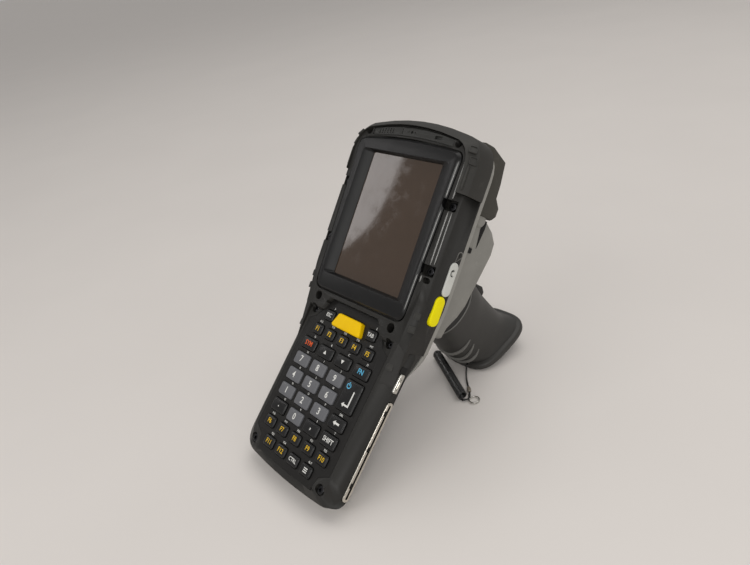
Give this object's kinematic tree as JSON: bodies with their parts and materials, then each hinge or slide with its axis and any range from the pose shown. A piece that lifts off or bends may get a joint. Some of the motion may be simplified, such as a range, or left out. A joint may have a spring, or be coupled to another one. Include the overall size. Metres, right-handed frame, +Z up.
{
  "type": "handheld data collector",
  "caption": "Rugged handheld data collector with a screen, a tilted keypad deck, a scanner pod, a pistol grip with a trigger and a coiled tether.",
  "frame": {"origin": "centre of the box of the unit without its tether, at the height of the surface it stands on", "axes": "+X across the unit to its own right-hand side, +Y from the keypad end to the grip's foot, +Z up; it stands on its keypad end's lower edge and on the near edge of the grip's foot"},
  "size_m": [0.1004, 0.2004, 0.1742],
  "materials": {
    "casing": "fine-grained moulded plastic",
    "bezel": "satin moulded plastic",
    "rubber": "matt, worn",
    "rear_casing": "fine-grained moulded plastic",
    "grip": "soft-touch, fine grain",
    "key_black": "matt",
    "key_grey": "matt",
    "key_yellow": "satin",
    "button_yellow": "satin",
    "port_cover": "matt",
    "screen_glass": "polished, dark when off",
    "panel": "matt",
    "board": "lacquered",
    "rail_metal": "brushed",
    "battery": "fine-grained",
    "scanner_lens": "polished filter",
    "cord": "glossy sheath",
    "ring_metal": "plated"
  },
  "bodies": {
    "unit": {"battery_pack": "battery", "display_bezel": "bezel", "front_housing": "casing", "grip_bracket": "rear_casing", "grip_handle": "grip", "keypad_faceplate": "casing", "keypad_mat": "rubber", "lcd_panel": "panel", "main_board": "board", "port_cover": "port_cover", "rear_housing": "rear_casing", "scan_engine": "panel", "scanner_pod": "rubber", "scanner_window": "scanner_lens", "side_rail": "rail_metal", "speaker_panel": "casing", "tether_coil": "cord", "tether_cord": "cord", "tether_ring": "ring_metal", "top_bumper": "rubber", "touch_glass": "screen_glass"},
    "key_esc": {"key_esc": "key_black"},
    "key_tab": {"key_tab": "key_black"},
    "key_f1": {"key_f1": "key_black"},
    "key_f2": {"key_f2": "key_black"},
    "key_f3": {"key_f3": "key_black"},
    "key_f4": {"key_f4": "key_black"},
    "key_f5": {"key_f5": "key_black"},
    "key_sym": {"key_sym": "key_black"},
    "key_up": {"key_up": "key_black"},
    "key_down": {"key_down": "key_black"},
    "key_fn": {"key_fn": "key_black"},
    "key_point": {"key_point": "key_black"},
    "key_comma": {"key_comma": "key_black"},
    "key_shift": {"key_shift": "key_black"},
    "key_f6": {"key_f6": "key_black"},
    "key_f7": {"key_f7": "key_black"},
    "key_f8": {"key_f8": "key_black"},
    "key_f9": {"key_f9": "key_black"},
    "key_f10": {"key_f10": "key_black"},
    "key_f11": {"key_f11": "key_black"},
    "key_f12": {"key_f12": "key_black"},
    "key_ctrl": {"key_ctrl": "key_black"},
    "key_menu": {"key_menu": "key_black"},
    "key_enter": {"key_enter": "key_black"},
    "key_delete": {"key_delete": "key_black"},
    "key_0": {"key_0": "key_grey"},
    "key_1": {"key_1": "key_grey"},
    "key_2": {"key_2": "key_grey"},
    "key_3": {"key_3": "key_grey"},
    "key_4": {"key_4": "key_grey"},
    "key_5": {"key_5": "key_grey"},
    "key_6": {"key_6": "key_grey"},
    "key_7": {"key_7": "key_grey"},
    "key_8": {"key_8": "key_grey"},
    "key_9": {"key_9": "key_grey"},
    "key_scan": {"key_scan": "key_yellow"},
    "side_button_right": {"side_button_right": "button_yellow"},
    "side_button_left": {"side_button_left": "button_yellow"},
    "grip_trigger": {"grip_trigger": "rubber"}
  },
  "joints": [
    {"name": "key_esc_press", "type": "slide", "parent": "unit", "child": "key_esc", "axis": [0, 0.6826, -0.7308], "range_m": [0, 0.0008], "stiffness_N_per_m": 300},
    {"name": "key_tab_press", "type": "slide", "parent": "unit", "child": "key_tab", "axis": [0, 0.6826, -0.7308], "range_m": [0, 0.0008], "stiffness_N_per_m": 300},
    {"name": "key_f1_press", "type": "slide", "parent": "unit", "child": "key_f1", "axis": [0, 0.6826, -0.7308], "range_m": [0, 0.0008], "stiffness_N_per_m": 300},
    {"name": "key_f2_press", "type": "slide", "parent": "unit", "child": "key_f2", "axis": [0, 0.6826, -0.7308], "range_m": [0, 0.0008], "stiffness_N_per_m": 300},
    {"name": "key_f3_press", "type": "slide", "parent": "unit", "child": "key_f3", "axis": [0, 0.6826, -0.7308], "range_m": [0, 0.0008], "stiffness_N_per_m": 300},
    {"name": "key_f4_press", "type": "slide", "parent": "unit", "child": "key_f4", "axis": [0, 0.6826, -0.7308], "range_m": [0, 0.0008], "stiffness_N_per_m": 300},
    {"name": "key_f5_press", "type": "slide", "parent": "unit", "child": "key_f5", "axis": [0, 0.6826, -0.7308], "range_m": [0, 0.0008], "stiffness_N_per_m": 300},
    {"name": "key_sym_press", "type": "slide", "parent": "unit", "child": "key_sym", "axis": [0, 0.6826, -0.7308], "range_m": [0, 0.0008], "stiffness_N_per_m": 300},
    {"name": "key_up_press", "type": "slide", "parent": "unit", "child": "key_up", "axis": [0, 0.6826, -0.7308], "range_m": [0, 0.0008], "stiffness_N_per_m": 300},
    {"name": "key_down_press", "type": "slide", "parent": "unit", "child": "key_down", "axis": [0, 0.6826, -0.7308], "range_m": [0, 0.0008], "stiffness_N_per_m": 300},
    {"name": "key_fn_press", "type": "slide", "parent": "unit", "child": "key_fn", "axis": [0, 0.6826, -0.7308], "range_m": [0, 0.0008], "stiffness_N_per_m": 300},
    {"name": "key_point_press", "type": "slide", "parent": "unit", "child": "key_point", "axis": [0, 0.6826, -0.7308], "range_m": [0, 0.0008], "stiffness_N_per_m": 300},
    {"name": "key_comma_press", "type": "slide", "parent": "unit", "child": "key_comma", "axis": [0, 0.6826, -0.7308], "range_m": [0, 0.0008], "stiffness_N_per_m": 300},
    {"name": "key_shift_press", "type": "slide", "parent": "unit", "child": "key_shift", "axis": [0, 0.6826, -0.7308], "range_m": [0, 0.0008], "stiffness_N_per_m": 300},
    {"name": "key_f6_press", "type": "slide", "parent": "unit", "child": "key_f6", "axis": [0, 0.6826, -0.7308], "range_m": [0, 0.0008], "stiffness_N_per_m": 300},
    {"name": "key_f7_press", "type": "slide", "parent": "unit", "child": "key_f7", "axis": [0, 0.6826, -0.7308], "range_m": [0, 0.0008], "stiffness_N_per_m": 300},
    {"name": "key_f8_press", "type": "slide", "parent": "unit", "child": "key_f8", "axis": [0, 0.6826, -0.7308], "range_m": [0, 0.0008], "stiffness_N_per_m": 300},
    {"name": "key_f9_press", "type": "slide", "parent": "unit", "child": "key_f9", "axis": [0, 0.6826, -0.7308], "range_m": [0, 0.0008], "stiffness_N_per_m": 300},
    {"name": "key_f10_press", "type": "slide", "parent": "unit", "child": "key_f10", "axis": [0, 0.6826, -0.7308], "range_m": [0, 0.0008], "stiffness_N_per_m": 300},
    {"name": "key_f11_press", "type": "slide", "parent": "unit", "child": "key_f11", "axis": [0, 0.6826, -0.7308], "range_m": [0, 0.0008], "stiffness_N_per_m": 300},
    {"name": "key_f12_press", "type": "slide", "parent": "unit", "child": "key_f12", "axis": [0, 0.6826, -0.7308], "range_m": [0, 0.0008], "stiffness_N_per_m": 300},
    {"name": "key_ctrl_press", "type": "slide", "parent": "unit", "child": "key_ctrl", "axis": [0, 0.6826, -0.7308], "range_m": [0, 0.0008], "stiffness_N_per_m": 300},
    {"name": "key_menu_press", "type": "slide", "parent": "unit", "child": "key_menu", "axis": [0, 0.6826, -0.7308], "range_m": [0, 0.0008], "stiffness_N_per_m": 300},
    {"name": "key_enter_press", "type": "slide", "parent": "unit", "child": "key_enter", "axis": [0, 0.6826, -0.7308], "range_m": [0, 0.0008], "stiffness_N_per_m": 300},
    {"name": "key_delete_press", "type": "slide", "parent": "unit", "child": "key_delete", "axis": [0, 0.6826, -0.7308], "range_m": [0, 0.0008], "stiffness_N_per_m": 300},
    {"name": "key_0_press", "type": "slide", "parent": "unit", "child": "key_0", "axis": [0, 0.6826, -0.7308], "range_m": [0, 0.0008], "stiffness_N_per_m": 300},
    {"name": "key_1_press", "type": "slide", "parent": "unit", "child": "key_1", "axis": [0, 0.6826, -0.7308], "range_m": [0, 0.0008], "stiffness_N_per_m": 300},
    {"name": "key_2_press", "type": "slide", "parent": "unit", "child": "key_2", "axis": [0, 0.6826, -0.7308], "range_m": [0, 0.0008], "stiffness_N_per_m": 300},
    {"name": "key_3_press", "type": "slide", "parent": "unit", "child": "key_3", "axis": [0, 0.6826, -0.7308], "range_m": [0, 0.0008], "stiffness_N_per_m": 300},
    {"name": "key_4_press", "type": "slide", "parent": "unit", "child": "key_4", "axis": [0, 0.6826, -0.7308], "range_m": [0, 0.0008], "stiffness_N_per_m": 300},
    {"name": "key_5_press", "type": "slide", "parent": "unit", "child": "key_5", "axis": [0, 0.6826, -0.7308], "range_m": [0, 0.0008], "stiffness_N_per_m": 300},
    {"name": "key_6_press", "type": "slide", "parent": "unit", "child": "key_6", "axis": [0, 0.6826, -0.7308], "range_m": [0, 0.0008], "stiffness_N_per_m": 300},
    {"name": "key_7_press", "type": "slide", "parent": "unit", "child": "key_7", "axis": [0, 0.6826, -0.7308], "range_m": [0, 0.0008], "stiffness_N_per_m": 300},
    {"name": "key_8_press", "type": "slide", "parent": "unit", "child": "key_8", "axis": [0, 0.6826, -0.7308], "range_m": [0, 0.0008], "stiffness_N_per_m": 300},
    {"name": "key_9_press", "type": "slide", "parent": "unit", "child": "key_9", "axis": [0, 0.6826, -0.7308], "range_m": [0, 0.0008], "stiffness_N_per_m": 300},
    {"name": "key_scan_press", "type": "slide", "parent": "unit", "child": "key_scan", "axis": [0, 0.6826, -0.7308], "range_m": [0, 0.0008], "stiffness_N_per_m": 300},
    {"name": "side_button_right_press", "type": "slide", "parent": "unit", "child": "side_button_right", "axis": [-1, 0, 0], "range_m": [0, 0.001], "stiffness_N_per_m": 400},
    {"name": "side_button_left_press", "type": "slide", "parent": "unit", "child": "side_button_left", "axis": [1, 0, 0], "range_m": [0, 0.001], "stiffness_N_per_m": 400},
    {"name": "trigger_squeeze", "type": "slide", "parent": "unit", "child": "grip_trigger", "axis": [0, -0.6053, -0.796], "range_m": [0, 0.004], "stiffness_N_per_m": 500}
  ]
}
